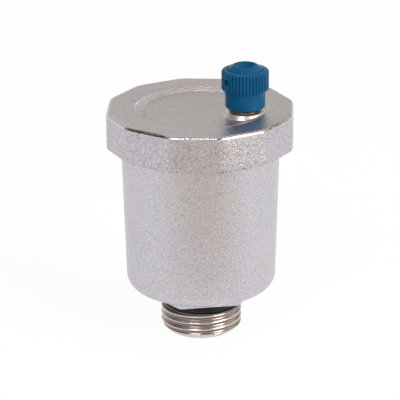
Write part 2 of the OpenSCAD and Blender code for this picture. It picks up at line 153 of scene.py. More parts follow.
def mesh_object(name, bm):
    """Object from a bmesh, smooth except along edges sharper than the crease angle."""
    bmesh.ops.remove_doubles(bm, verts=bm.verts, dist=0.0005 * mm)
    bmesh.ops.dissolve_degenerate(bm, edges=bm.edges, dist=0.0002 * mm)
    mesh = bpy.data.meshes.new(name)
    bm.to_mesh(mesh)
    bm.free()
    mesh.shade_smooth()
    mesh.set_sharp_from_angle(angle=crease)
    piece = bpy.data.objects.new(name, mesh)
    bpy.context.scene.collection.objects.link(piece)
    return piece


def thread_share(angle, z):
    """Share of the inlet thread's depth below its crest, at an angle and a height."""
    return thread_fall(z / thread_pitch - angle / (2 * math.pi) + thread_start, thread_rounding)


def spigot_place(z):
    """The thread's outline at one height, cut back by the bevels at both ends."""
    bevel_r = min(thread_r - lead_in + z, thread_r + spigot_h - run_out - z)
    return lambda angle: (min(thread_r - thread_depth * thread_share(angle, z), bevel_r), z)


def collar_place(inset, z):
    """The collar's outline drawn in by an inset, at one height."""
    flat = collar_flat - inset
    corner_r = collar_corner_r - inset
    return lambda angle: (polygon_radius(angle, flat, 6, corner_r, collar_turn), z)


cup_apex_z = cup_z - collar_flat * math.tan(cup_rise) + cup_edge_r / math.cos(cup_rise)
cup_edge_x = cup_r - (cover_z - cup_apex_z) * math.tan(cup_draft) - cup_edge_r / math.cos(cup_draft)
cup_edge_x /= 1 - math.tan(cup_rise) * math.tan(cup_draft)
cup_edge_z = cup_apex_z + cup_edge_x * math.tan(cup_rise)


def cup_bottom(r):
    """Height of the cup's conical underside at a radius."""
    return cup_z + (r - collar_flat) * math.tan(cup_rise)


def fillet_place(turn):
    """Hollow fillet between the collar's flats and the cup's underside, from upright to level."""
    def place(angle):
        r = polygon_radius(angle, collar_flat, 6, collar_corner_r, collar_turn)
        z = cup_bottom(r + collar_fillet) - collar_fillet * (1 - math.sin(turn))
        return r + collar_fillet * (1 - math.cos(turn)), z

    return place


def underside_place(share, outer_r):
    """The cup's underside, from the fillet's outline out to a circle."""
    def place(angle):
        r = polygon_radius(angle, collar_flat, 6, collar_corner_r, collar_turn) + collar_fillet
        r += (outer_r - r) * share
        return r, cup_bottom(r)

    return place


bm = bmesh.new()
rings = turned(body_spokes, [(inlet_r, inlet_bevel), (inlet_r + inlet_bevel, 0)])
thread_rows = int(spigot_h / thread_pitch * thread_steps)
for i in range(thread_rows + 1):
    rings.append(ring_of(body_spokes, spigot_place(spigot_h * i / thread_rows)))
groove_edge_x = groove_r + small_edge
rings += turned(body_spokes, [(groove_edge_x, spigot_h)])
rings += turned(body_spokes, arc(groove_edge_x, spigot_h + small_edge, small_edge, 270, 180, 3))
rings += turned(body_spokes, arc(groove_edge_x, collar_z - small_edge, small_edge, 180, 90, 3))
for i in range(5):
    lean = math.radians(90 * i / 4)
    inset = collar_edge_r * (1 - math.sin(lean))
    z = collar_z + collar_edge_r * (1 - math.cos(lean))
    rings.append(ring_of(body_spokes, collar_place(inset, z)))
rings += [ring_of(body_spokes, fillet_place(math.radians(90 * i / 5))) for i in range(6)]
round_start = math.degrees(cup_rise) - 90
flare_r = cup_edge_x + cup_edge_r * math.sin(cup_rise)
rings += [ring_of(body_spokes, underside_place((i + 1) / 6, flare_r)) for i in range(6)]
round_stop = -math.degrees(cup_draft)
cup_edge = arc(cup_edge_x, cup_edge_z, cup_edge_r, round_start, round_stop, 14)
rings += turned(body_spokes, cup_edge[1:])
wall_low_r = cup_edge_x + cup_edge_r * math.cos(cup_draft)
wall_low_z = cup_edge_z - cup_edge_r * math.sin(cup_draft)
wall_rows = 16
for i in range(1, wall_rows):
    share = i / wall_rows
    wall_r = wall_low_r + (cup_r - wall_low_r) * share
    rings += turned(body_spokes, [(wall_r, wall_low_z + (cover_z - wall_low_z) * share)])
rings += turned(body_spokes, [
    (cup_r, cover_z - hair_edge),
    (cup_r - hair_edge, cover_z),
    (neck_r, cover_z),
    (neck_r, neck_z - small_edge),
    (neck_r - small_edge, neck_z),
    (chamber_r + small_edge, neck_z),
    (chamber_r, neck_z - small_edge),
])
chamber_edge_x = chamber_r - chamber_edge_r
chamber_edge_z = cup_floor_z + chamber_edge_r
rings += turned(body_spokes, arc(chamber_edge_x, chamber_edge_z, chamber_edge_r, 0, -90, 6))
rings += turned(body_spokes, [
    (inlet_r + small_edge, cup_floor_z),
    (inlet_r, cup_floor_z - small_edge),
])
add_rings(bm, rings, wrap=True)
body = mesh_object("forged_body", bm)

# Painted shade darkens the thread's hollows, most of all in its last turn under the ring, and the bevels at
# both ends of the thread; the crests stay bright.
flank_shade = 0.5
last_turn_shade = 0.95
last_turn_h = 0.75 * mm
top_edge_shade = 0.55
top_edge_h = 0.15 * mm
top_bevel_shade = 0.6
foot_bevel_shade = 0.12
unshaded_share = 0.12
shade_rise = 4
on_flank = 0.01 * mm
painted_shade = body.data.attributes.new("painted_shade", "FLOAT", "POINT")
for vertex, shade_level in zip(body.data.vertices, painted_shade.data):
    x, y, z = vertex.co
    r = math.hypot(x, y)
    depth = thread_share(math.atan2(y, x), z)
    if z < spigot_h and abs(thread_r - depth * thread_depth - r) < on_flank:
        most = last_turn_shade if z > spigot_h - last_turn_h else flank_shade
        if z > spigot_h - top_edge_h:
            most = top_edge_shade
        shade_level.value = min(most, max(0, shade_rise * (depth - unshaded_share)))
    elif r > inlet_r + 1 * mm and z < lead_in:
        shade_level.value = foot_bevel_shade
    elif r > groove_edge_x and spigot_h - run_out < z < spigot_h + small_edge:
        shade_level.value = top_bevel_shade


def node_adder(tree):
    """Helper that adds nodes to a tree, with their inputs and settings given by name."""
    def add(kind, **settings):
        made = tree.nodes.new(kind)
        for key, value in settings.items():
            if key in made.inputs:
                made.inputs[key].default_value = value
            else:
                setattr(made, key, value)
        return made

    return add


def shader_tree(name):
    """New material with its node tree, its main shader and a helper that adds nodes."""
    material = bpy.data.materials.new(name)
    material.use_nodes = True
    tree = material.node_tree
    return material, tree, tree.nodes["Principled BSDF"], node_adder(tree)


def ramp_between(add, tree, source, low, high, dark=(0, 0, 0), bright=(1, 1, 1)):
    """Colour ramp from dark to bright between two levels of the source."""
    ramp = add("ShaderNodeValToRGB")
    ramp.color_ramp.elements[0].position = low
    ramp.color_ramp.elements[1].position = high
    ramp.color_ramp.elements[0].color = (*dark, 1)
    ramp.color_ramp.elements[1].color = (*bright, 1)
    tree.links.new(source, ramp.inputs["Fac"])
    return ramp.outputs["Color"]


def piece_noise(add, tree, **settings):
    """Noise laid over a piece in its own coordinates, from 0 to 1."""
    noise = add("ShaderNodeTexNoise", **settings)
    tree.links.new(add("ShaderNodeTexCoord").outputs["Object"], noise.inputs["Vector"])
    return noise.outputs["Fac"]


def raise_grain(add, tree, shader, source, strength, height):
    """Bumps the shader's surface by the source, up to a height."""
    relief = add("ShaderNodeBump", Strength=strength, Distance=height)
    tree.links.new(source, relief.inputs["Height"])
    tree.links.new(relief.outputs["Normal"], shader.inputs["Normal"])


def vary_gloss(add, tree, shader, source, rough, spread):
    """Lets the shader's roughness drift with the source, by a spread to both sides."""
    gloss = add("ShaderNodeMapRange")
    gloss.inputs["To Min"].default_value = rough - spread
    gloss.inputs["To Max"].default_value = rough + spread
    tree.links.new(source, gloss.inputs["Value"])
    tree.links.new(gloss.outputs["Result"], shader.inputs["Roughness"])


def laid_over(add, tree, under, over, share):
    """Colour of one layer over another, where share says how much of the upper one shows."""
    layers = add("ShaderNodeMix", data_type="RGBA")
    tree.links.new(share, layers.inputs["Factor"])
    tree.links.new(under, layers.inputs["A"])
    tree.links.new(over, layers.inputs["B"])
    return layers.outputs["Result"]


cool_plate = (0.66, 0.65, 0.73)
warm_plate = (0.685, 0.66, 0.705)
# Brown and black used for painted shade in the thread's hollows and round the dish's floor.
shade_brown = (0.38, 0.315, 0.27)
shade_black = (0.03, 0.025, 0.022)
worn_hollow = (0.075, 0.058, 0.046)
worn_brass = (0.42, 0.345, 0.28)
pit_brown = (0.1, 0.08, 0.065, 1)
pit_strength = (0.6, 0.6, 0.6)


def nickel_finish(name, grain_size, grain_height, grain_shade, rough):
    """Nickel plate: blasted grain, cloudy colour, painted shade in brown and black, brown worn edges and
    small pits.
    """
    material, tree, shader, add = shader_tree(name)
    link = tree.links.new
    shader.inputs["Metallic"].default_value = 1

    cloud = piece_noise(add, tree, Scale=90, Detail=3)
    grain = piece_noise(add, tree, Scale=1 / grain_size, Detail=2, Roughness=0.6)
    hollow = (1 - grain_shade, 1 - 1.05 * grain_shade, 1 - 1.1 * grain_shade)
    speckled = add("ShaderNodeMix", data_type="RGBA", blend_type="MULTIPLY")
    speckled.inputs["Factor"].default_value = 1
    link(ramp_between(add, tree, cloud, 0.35, 0.65, cool_plate, warm_plate), speckled.inputs["A"])
    link(ramp_between(add, tree, grain, 0.34, 0.66, hollow), speckled.inputs["B"])

    # Painted shade: an attribute darkens the plate to brown, then to black.
    painted_shade = add("ShaderNodeAttribute", attribute_name="painted_shade").outputs["Fac"]
    shade_tone = ramp_between(add, tree, painted_shade, 0.5, 1, shade_brown, shade_black)
    shade_share = ramp_between(add, tree, painted_shade, 0, 0.5)
    shaded = laid_over(add, tree, speckled.outputs["Result"], shade_tone, shade_share)

    wear = add("ShaderNodeAttribute", attribute_name="wear").outputs["Fac"]
    worn = add("ShaderNodeMath", operation="ADD")
    link(wear, worn.inputs[0])
    link(piece_noise(add, tree, Scale=2200, Detail=4), worn.inputs[1])
    bare = ramp_between(add, tree, grain, 0.38, 0.62, worn_hollow, worn_brass)
    bare_share = ramp_between(add, tree, worn.outputs["Value"], 0.96, 1)
    rubbed = laid_over(add, tree, shaded, bare, bare_share)

    pits = add("ShaderNodeTexVoronoi", Scale=300)
    link(add("ShaderNodeTexCoord").outputs["Object"], pits.inputs["Vector"])
    chance = add("ShaderNodeSeparateColor")
    link(pits.outputs["Color"], chance.inputs["Color"])
    spot = add("ShaderNodeMath", operation="MULTIPLY")
    rare = ramp_between(add, tree, chance.outputs["Red"], 0.93, 0.95, bright=pit_strength)
    near = ramp_between(add, tree, pits.outputs["Distance"], 0.03, 0.075, (1, 1, 1), (0, 0, 0))
    link(rare, spot.inputs[0])
    link(near, spot.inputs[1])
    pitted = add("ShaderNodeMix", data_type="RGBA")
    pitted.inputs["B"].default_value = pit_brown
    link(spot.outputs["Value"], pitted.inputs["Factor"])
    link(rubbed, pitted.inputs["A"])
    link(pitted.outputs["Result"], shader.inputs["Base Color"])

    raise_grain(add, tree, shader, grain, 1, grain_height)
    vary_gloss(add, tree, shader, cloud, rough, 0.06)
    return material


blasted = nickel_finish(
    "blasted_nickel", grain_size=0.38 * mm, grain_height=0.1 * mm, grain_shade=0.3, rough=0.34)
cut = nickel_finish(
    "cut_nickel", grain_size=0.5 * mm, grain_height=0.004 * mm, grain_shade=0.06, rough=0.2)
body.data.materials.append(blasted)
body.data.materials.append(cut)
for face in body.data.polygons:
    if face.center.z < collar_z + 0.1 * collar_edge_r:
        face.material_index = 1
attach(body, "valve_body")
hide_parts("body")


# Sealing ring in the groove over the thread and flat gasket between neck and cover.
# Both are black moulded rubber, left loose in their seats and squeezed when the threads are tightened.
def rubber_finish(name, colour, rough):
    """Moulded rubber: near black, with a dusty bloom and a fine moulding grain."""
    material, tree, shader, add = shader_tree(name)
    bloom = piece_noise(add, tree, Scale=500, Detail=4)
    dusty = tuple(c * 1.8 + 0.004 for c in colour)
    skin = ramp_between(add, tree, bloom, 0.4, 0.75, colour, dusty)
    tree.links.new(skin, shader.inputs["Base Color"])
    grain = piece_noise(add, tree, Scale=4000, Detail=2)
    raise_grain(add, tree, shader, grain, 0.6, 0.02 * mm)
    shader.inputs["Roughness"].default_value = rough
    shader.inputs["Specular IOR Level"].default_value = 0.12
    return material


def dress(node, material):
    """Gives a CAD node its finish."""
    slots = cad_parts[node].data.materials
    slots.clear()
    slots.append(material)


black_rubber = rubber_finish("black_rubber", colour=(0.012, 0.013, 0.016), rough=0.38)
dress("thread_o_ring", black_rubber)
dress("cover_gasket", black_rubber)


# Cover: a forged brass lid with twelve wrench flats, screwed onto the neck and nickel plated with the body.
# Its top is pressed smooth, with a shallow dish in the middle and a round boss for the vent nozzle.
cover_spokes = 288
cover_sides = 12
cover_flat = 23.7 * mm
cover_corner_r = 6 * mm
cover_top_r = 0.85 * mm
cover_foot_r = 0.4 * mm
cover_top_z = 60.4 * mm
dish_z = 59.5 * mm
dish_r = 17 * mm
dish_floor_r = 14.3 * mm
rim_r = 20.6 * mm
roof_z = 57.2 * mm
cover_bore_r = 19.55 * mm
cap_low, cap_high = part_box("vent_cap")
vent_x = (cap_low.x + cap_high.x) / 2
boss_z = cover_high.z
boss_r = 4.85 * mm
boss_top_r = 4.2 * mm
boss_cone = 0.6
boss_edge_z = 60.6 * mm
boss_slope = 2
boss_round = 0.12 * mm
boss_blend = 0.3 * mm
dish_blend = 0.1 * mm
lip_blend = 0.35 * mm
boss_spokes = 96
seal_pocket_r = 3.5 * mm
seal_pocket_z = boss_z - 0.8 * mm
shank_hole_r = 2.55 * mm


def cover_place(inset, z):
    """The cover's outline drawn in by an inset, at one height."""
    flat = cover_flat - inset
    corner_r = cover_corner_r - inset
    return lambda angle: (polygon_radius(angle, flat, cover_sides, corner_r, 0), z)


def rim_place(share):
    """The flat rim, from its rounded outer edge in to a circle round the dish."""
    outline = cover_place(cover_top_r, cover_top_z)

    def place(angle):
        r = outline(angle)[0]
        return r + (rim_r - r) * share, cover_top_z

    return place


def flat_ring(spokes, r, centre=(0, 0)):
    """Ring of points seen from above."""
    return [p[:2] for p in ring_of(spokes, lambda angle: (r, 0), centre)]


def soft_max(a, b, blend):
    """The larger of two heights, with a hollow blend where they cross."""
    return max(a, b) + max(0, blend - abs(a - b)) ** 2 / (4 * blend)


def cover_height(x, y):
    """Height of the cover's upper side: flat rim, sloping dish, and the boss."""
    share = (math.hypot(x, y) - dish_floor_r) / (dish_r - dish_floor_r)
    slope = dish_z + (cover_top_z - dish_z) * share
    base = -soft_max(-cover_top_z, -soft_max(dish_z, slope, dish_blend), lip_blend)
    from_vent = math.hypot(x - vent_x, y)
    cone = boss_z - max(0, from_vent - boss_top_r) * boss_cone
    flank = boss_edge_z - (from_vent - boss_r) * boss_slope
    boss = -soft_max(-cone, -flank, boss_round)
    return soft_max(base, boss, boss_blend)


def add_plate(bm, outline, hole, inner, height, upward):
    """Adds triangles between an outline and a hole, through inner points, at the height of each point."""
    loops = [p[:2] for p in outline] + [p[:2] for p in hole]
    n = len(outline)
    edges = [(i, (i + 1) % n) for i in range(n)]
    edges += [(n + i, n + (i + 1) % len(hole)) for i in range(len(hole))]
    flat = [Vector((x / mm, y / mm)) for x, y in loops + inner]
    points, _, triangles, *_ = delaunay_2d_cdt(flat, edges, [], 0, 1e-6)
    middle = sum((Vector(p[:2]) for p in hole), Vector((0, 0))) / len(hole)
    hole_r = (Vector(hole[0][:2]) - middle).length * math.cos(math.pi / len(hole))
    verts = [bm.verts.new((p.x * mm, p.y * mm, height(p.x * mm, p.y * mm))) for p in points]
    for triangle in triangles:
        centre = sum((points[i] for i in triangle), Vector((0, 0))) / 3 * mm
        if (centre - middle).length > hole_r:
            corners = [verts[i] for i in triangle]
            bm.faces.new(corners if upward else corners[::-1])


bm = bmesh.new()
side_rings = turned(cover_spokes, [
    (cover_bore_r, roof_z),
    (cover_bore_r, cover_z + small_edge),
    (cover_bore_r + small_edge, cover_z),
])
for i in range(5):
    lean = math.radians(90 * i / 4)
    inset = cover_foot_r * (1 - math.sin(lean))
    z = cover_z + cover_foot_r * (1 - math.cos(lean))
    side_rings.append(ring_of(cover_spokes, cover_place(inset, z)))
side_low_z = cover_z + cover_foot_r
side_high_z = cover_top_z - cover_top_r
side_rows = 8
for i in range(1, side_rows):
    z = side_low_z + (side_high_z - side_low_z) * i / side_rows
    side_rings.append(ring_of(cover_spokes, cover_place(0, z)))
for i in range(7):
    lean = math.radians(90 * i / 6)
    inset = cover_top_r * (1 - math.cos(lean))
    z = side_high_z + cover_top_r * math.sin(lean)
    side_rings.append(ring_of(cover_spokes, cover_place(inset, z)))
rim_rows = 4
side_rings += [ring_of(cover_spokes, rim_place((i + 1) / rim_rows)) for i in range(rim_rows)]
add_rings(bm, side_rings)

vent_centre = (vent_x, 0)
hole_rings = turned(boss_spokes, [
    (seal_pocket_r, boss_z),
    (seal_pocket_r, seal_pocket_z),
    (shank_hole_r, seal_pocket_z),
    (shank_hole_r, roof_z),
], vent_centre)
add_rings(bm, hole_rings)

# Rows of points on the upper side, by radius in mm.
# They lie closest together on the dish's slope and the boss's flank.
boss_reach = 8.2 * mm
centre_spokes = 96
centre_rows = [12, 9, 6, 3]
dish_rows = [19, 18] + [17.4 - 0.15 * i for i in range(24)]
boss_rows = [3.7 + 0.2 * i for i in range(5)]
boss_rows += [4.7 + 0.03 * i for i in range(34)]
boss_rows += [5.85 + 0.34 * i for i in range(7)]
inner = []
for r in dish_rows:
    inner += flat_ring(cover_spokes, r * mm)
for r in centre_rows:
    inner += flat_ring(centre_spokes, r * mm)
inner = [p for p in inner if math.hypot(p[0] - vent_x, p[1]) > boss_reach]
near_boss = []
for r in boss_rows:
    near_boss += flat_ring(2 * boss_spokes, r * mm, vent_centre)
add_plate(bm, side_rings[-1], hole_rings[0], inner + near_boss, cover_height, True)
add_plate(bm, side_rings[0], hole_rings[-1], [], lambda x, y: roof_z, False)
cover = mesh_object("screwed_cover", bm)

# The plate is rubbed through along the edges, most of all on two stretches of the upper one.
# Painted shade lies round the dish's floor, more on one side of it.
edge_wear = 0.32
foot_wear = 0.385
worn_edges = ((-126, -92, 0.57), (-36, -3, 0.47))
wear_fade = 4
dish_shade = 0.15
dish_shade_w = 0.2 * mm
shaded_side = math.radians(115)
level_slack = 0.1 * mm
wear = cover.data.attributes.new("wear", "FLOAT", "POINT")
painted_shade = cover.data.attributes.new("painted_shade", "FLOAT", "POINT")
for vertex, worn, shade_level in zip(cover.data.vertices, wear.data, painted_shade.data):
    x, y, z = vertex.co
    angle = math.atan2(y, x)
    r = math.hypot(x, y)
    from_side = polygon_radius(angle, cover_flat, cover_sides, cover_corner_r, 0) - r
    if from_side < cover_top_r and z > side_high_z:
        worn.value = edge_wear
        for first, last, level in worn_edges:
            within = min(math.degrees(angle) - first, last - math.degrees(angle))
            worn.value += (level - edge_wear) * min(1, max(0, within / wear_fade))
    elif z < side_low_z + level_slack:
        worn.value = foot_wear
    # Painted shade round the dish's floor, stronger towards one side.
    if z > dish_z - level_slack and abs(r - dish_floor_r) < dish_shade_w:
        shade_level.value = dish_shade * (1 + math.cos(angle - shaded_side))

forged = nickel_finish(
    "forged_nickel", grain_size=0.42 * mm, grain_height=0.17 * mm, grain_shade=0.42, rough=0.32)
pressed = nickel_finish(
    "pressed_nickel", grain_size=0.42 * mm, grain_height=0.045 * mm, grain_shade=0.26, rough=0.36)
rippled = nickel_finish(
    "rippled_nickel", grain_size=0.5 * mm, grain_height=0.9 * mm, grain_shade=0.1, rough=0.17)
burnished = nickel_finish(
    "burnished_nickel", grain_size=0.42 * mm, grain_height=0.05 * mm, grain_shade=0.14, rough=0.22)
finishes = (forged, pressed, rippled, burnished)
for finish in finishes:
    cover.data.materials.append(finish)
for face in cover.data.polygons:
    x, y, z = face.center
    if face.normal.z > 0.1 and z > dish_z - level_slack:
        from_axis = math.hypot(x, y)
        finish = pressed
        if face.normal.z < 0.9 and from_axis > rim_r:
            finish = burnished
        elif dish_floor_r < from_axis < dish_r and math.hypot(x - vent_x, y) > boss_r + 1 * mm:
            finish = rippled
        face.material_index = finishes.index(finish)
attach(cover, "valve_body")
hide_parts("cover")


# Vent nozzle: a brass jet turned from bar, with a flange on the boss and a coarse thread for the cap.
# Its shank goes down through the cover, where a nut and a spring washer hold it.
nozzle_low, nozzle_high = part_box("vent_nozzle")
nozzle_spokes = 96
nozzle_steps = 20
nozzle_r = 3.5 * mm
nozzle_pitch = 1 * mm
nozzle_depth = 0.5 * mm
nozzle_bore_r = 1.1 * mm
orifice_r = 0.6 * mm
nozzle_lip = 0.6 * mm
lip_h = 0.4 * mm
flange_r = 4.2 * mm
flange_z = boss_z + 0.4 * mm
nozzle_end_z = nozzle_high.z - lip_h
shank_r = 2.5 * mm
shank_z = nozzle_low.z + lip_h
turned_edge = 0.12 * mm


def nozzle_place(z):
    """The cap thread's outline at one height, running out at the flange and bevelled at the mouth."""
    fade = min(1, (z - flange_z) / (0.5 * nozzle_pitch))
    bevel_r = nozzle_r + nozzle_end_z - lip_h - z

    def place(angle):
        turns = z / nozzle_pitch - angle / (2 * math.pi)
        return min(nozzle_r - nozzle_depth * fade * thread_fall(turns, thread_rounding), bevel_r), z

    return place


bm = bmesh.new()
rings = turned(nozzle_spokes, [
    (orifice_r, nozzle_low.z),
    (orifice_r + nozzle_lip, nozzle_low.z),
    (orifice_r + nozzle_lip, shank_z),
    (shank_r - turned_edge, shank_z),
    (shank_r, shank_z + turned_edge),
    (shank_r, boss_z),
    (flange_r - turned_edge, boss_z),
    (flange_r, boss_z + turned_edge),
    (flange_r, flange_z - turned_edge),
    (flange_r - turned_edge, flange_z),
])
nozzle_rows = int((nozzle_end_z - flange_z) / nozzle_pitch * nozzle_steps)
for i in range(nozzle_rows + 1):
    z = flange_z + (nozzle_end_z - flange_z) * i / nozzle_rows
    rings.append(ring_of(nozzle_spokes, nozzle_place(z)))
rings += turned(nozzle_spokes, [
    (nozzle_bore_r + nozzle_lip, nozzle_end_z),
    (nozzle_bore_r + nozzle_lip, nozzle_high.z - turned_edge),
    (nozzle_bore_r + nozzle_lip - turned_edge, nozzle_high.z),
    (nozzle_bore_r, nozzle_high.z),
    (nozzle_bore_r, roof_z),
    (orifice_r, roof_z - nozzle_bore_r + orifice_r),
])
rings = [[(x + vent_x, y, z) for x, y, z in ring] for ring in rings]
add_rings(bm, rings, wrap=True)
nozzle = mesh_object("brass_nozzle", bm)


def metal_finish(name, colour, stain_and_shade, rough, line_scale):
    """Bare turned or rolled metal: faint tool lines, darker patches of stain and painted shade, and uneven
    gloss.
    """
    material, tree, shader, add = shader_tree(name)
    link = tree.links.new
    shader.inputs["Metallic"].default_value = 1
    patches = piece_noise(add, tree, Scale=260, Detail=4)
    link(ramp_between(add, tree, patches, 0.4, 0.6, colour, stain_and_shade), shader.inputs["Base Color"])
    stretch = add("ShaderNodeMapping", Scale=(0.1, 0.1, 1))
    link(add("ShaderNodeTexCoord").outputs["Object"], stretch.inputs["Vector"])
    lines = add("ShaderNodeTexNoise", Scale=line_scale, Detail=3)
    link(stretch.outputs["Vector"], lines.inputs["Vector"])
    raise_grain(add, tree, shader, lines.outputs["Fac"], 0.5, 0.01 * mm)
    vary_gloss(add, tree, shader, patches, rough, 0.08)
    return material


# The brass's colour and its near-black patches are darkened as painted shade in the gap under the cap.
brass = metal_finish(
    "shade_darkened_brass", colour=(0.5, 0.36, 0.17), stain_and_shade=(0.1, 0.07, 0.042), rough=0.25, line_scale=9000)
nozzle.data.materials.append(brass)
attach(nozzle, "valve_body")
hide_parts("vent_nozzle")
dress("nozzle_seal", black_rubber)
dress("nozzle_nut", brass)


# Lever gear under the cover: a stainless bracket under the nozzle's nut, with pin, clip, washer and spring.
# The lever is moulded in natural acetal and carries a rubber pad that shuts the nozzle's orifice.
stainless = metal_finish(
    "stainless_steel", colour=(0.60, 0.60, 0.61), stain_and_shade=(0.52, 0.52, 0.53), rough=0.28, line_scale=7000)
for steel_node in ("nut_washer", "lever_bracket", "lever_pin", "pin_clip"):
    dress(steel_node, stainless)

pin_low, pin_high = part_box("lever_pin")
pin_x = (pin_low.x + pin_high.x) / 2
pin_z = (pin_low.z + pin_high.z) / 2
spring_low, spring_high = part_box("lever_spring")
wire_r = 0.2 * mm
wire_sides = 12
coil_r = 1.3 * mm
coil_turn = math.radians(720 + 69)
coil_steps = 96
spring_leg = 6 * mm
plate_leg_y = spring_high.y - wire_r
lever_leg_y = spring_low.y + wire_r


def wire_ring(centre, heading):
    """Round section of the spring's wire, square to its heading."""
    across = Vector((0, 1, 0))
    upright = heading.cross(across)
    turns = [2 * math.pi * k / wire_sides for k in range(wire_sides)]
    return [centre + wire_r * (math.cos(a) * across + math.sin(a) * upright) for a in turns]


sections = []
for i in range(coil_steps + 1):
    a = coil_turn * i / coil_steps
    y = plate_leg_y + (lever_leg_y - plate_leg_y) * i / coil_steps
    centre = Vector((pin_x + coil_r * math.cos(a), y, pin_z - coil_r * math.sin(a)))
    sections.append((centre, Vector((-math.sin(a), 0, -math.cos(a)))))
plate_leg_top = Vector((pin_x + coil_r, plate_leg_y, spring_high.z))
lever_leg_end = sections[-1][0] + spring_leg * sections[-1][1]
sections = [(plate_leg_top, sections[0][1])] + sections + [(lever_leg_end, sections[-1][1])]
bm = bmesh.new()
add_rings(bm, [wire_ring(centre, heading) for centre, heading in sections])
bm.faces.new(bm.verts[:wire_sides][::-1])
bm.faces.new(bm.verts[-wire_sides:])
spring = mesh_object("torsion_spring", bm)
spring.data.materials.append(stainless)
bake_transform(spring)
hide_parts("lever_spring")


def moulded_finish(name, colour, deep, rough, sheen, grain_height):
    """Moulded plastic: slight colour drift through the wall and a fine matt grain."""
    material, tree, shader, add = shader_tree(name)
    shader.inputs["Specular IOR Level"].default_value = sheen
    drift = piece_noise(add, tree, Scale=200, Detail=3)
    skin = ramp_between(add, tree, drift, 0.3, 0.7, colour, deep)
    tree.links.new(skin, shader.inputs["Base Color"])
    grain = piece_noise(add, tree, Scale=5000, Detail=2)
    raise_grain(add, tree, shader, grain, 0.5, grain_height)
    vary_gloss(add, tree, shader, drift, rough, 0.06)
    return material


acetal = moulded_finish(
    "natural_acetal", colour=(0.80, 0.78, 0.70), deep=(0.74, 0.71, 0.62),
    rough=0.4, sheen=0.5, grain_height=0.006 * mm)
dress("lever", acetal)
dress("valve_pad", black_rubber)


# Float: a hollow shell with a welded lid, both moulded in natural acetal, lifted by the water.
# A bent stainless wire hook on the lid hangs it in the lever's eye.
dress("float_shell", acetal)
dress("float_lid", acetal)
dress("float_hook", stainless)


# Vent cap: moulded blue plastic with a fluted grip, screwed on the nozzle, with a vent hole in its side.
# The flutes stop below a rounded rim, and a low dome with a blind recess stands on top.
flutes = 42
flute_spokes = 12
cap_spokes = flutes * flute_spokes
cap_z = cap_low.z
cap_bore_r = 3.55 * mm
skirt_r = 5.1 * mm
skirt_edge_r = 0.6 * mm
skirt_fillet = 0.15 * mm
fillet_mid = 0.04 * mm
knurl_z = 66.5 * mm
knurl_r = 6 * mm
knurl_edge_r = 0.6 * mm
knurl_foot_r = 0.2 * mm
flute_depth = 0.43 * mm
flute_half = 0.36
flute_fade = 0.35 * mm
dome_z = 71.5 * mm
shoulder_rise = 0.22 * mm
dome_r = 4.35 * mm
dome_top_r = 3.1 * mm
dome_bulge = -0.03 * mm
dome_foot = 0.1 * mm
dome_step = 0.25 * mm
recess_r = 2.55 * mm
recess_floor_r = 1 * mm
recess_z = 70.9 * mm
lip_r = 0.15 * mm
tip_r = 0.02 * mm
hub_r = 2.9 * mm
hub_bore_r = 2.35 * mm
hub_z = 66.95 * mm
hub_roof_z = 67.65 * mm
air_z = 70.55 * mm
side_vent_turn = math.radians(-127)
side_vent_r = 0.775 * mm
side_vent_z = 69.05 * mm
flutes_skipped = 1
cap_top_z = cap_high.z


def flute_share(angle):
    """How deep the flutes cut at an angle, from 0 on a rib to 1 in a flute; none beside the side vent."""
    place = ((angle - side_vent_turn) / (2 * math.pi) * flutes) % flutes
    if min(place, flutes - place) < flutes_skipped:
        return 0
    level = max(0, 1 - abs(place % 1 - 0.5) / flute_half)
    return level * level * (3 - 2 * level)


def knurl_place(r, z):
    """The grip's outline at one height, with its flutes fading out below the rim."""
    fade = min(1, max(0, (dome_z - z) / flute_fade))
    return lambda angle: (r - flute_depth * fade * flute_share(angle), z)


bm = bmesh.new()
rings = turned(cap_spokes, [
    (tip_r, hub_roof_z),
    (hub_bore_r, hub_roof_z),
    (hub_bore_r, hub_z),
    (hub_r, hub_z),
    (hub_r, air_z),
    (cap_bore_r, air_z),
    (cap_bore_r, cap_z + small_edge),
    (cap_bore_r + small_edge, cap_z),
])
rings += turned(cap_spokes, arc(skirt_r - skirt_edge_r, cap_z + skirt_edge_r, skirt_edge_r, -90, 0, 6))
rings += turned(cap_spokes, [
    (skirt_r, knurl_z - skirt_fillet),
    (skirt_r + fillet_mid, knurl_z - fillet_mid),
    (skirt_r + skirt_fillet, knurl_z),
])
for r, z in arc(knurl_r - knurl_foot_r, knurl_z + knurl_foot_r, knurl_foot_r, -90, 0, 4):
    rings.append(ring_of(cap_spokes, knurl_place(r, z)))
knurl_low_z = knurl_z + knurl_foot_r
knurl_high_z = dome_z - knurl_edge_r
knurl_rows = 24
for i in range(1, knurl_rows):
    z = knurl_low_z + (knurl_high_z - knurl_low_z) * i / knurl_rows
    rings.append(ring_of(cap_spokes, knurl_place(knurl_r, z)))
for r, z in arc(knurl_r - knurl_edge_r, knurl_high_z, knurl_edge_r, 0, 90, 9):
    rings.append(ring_of(cap_spokes, knurl_place(r, z)))

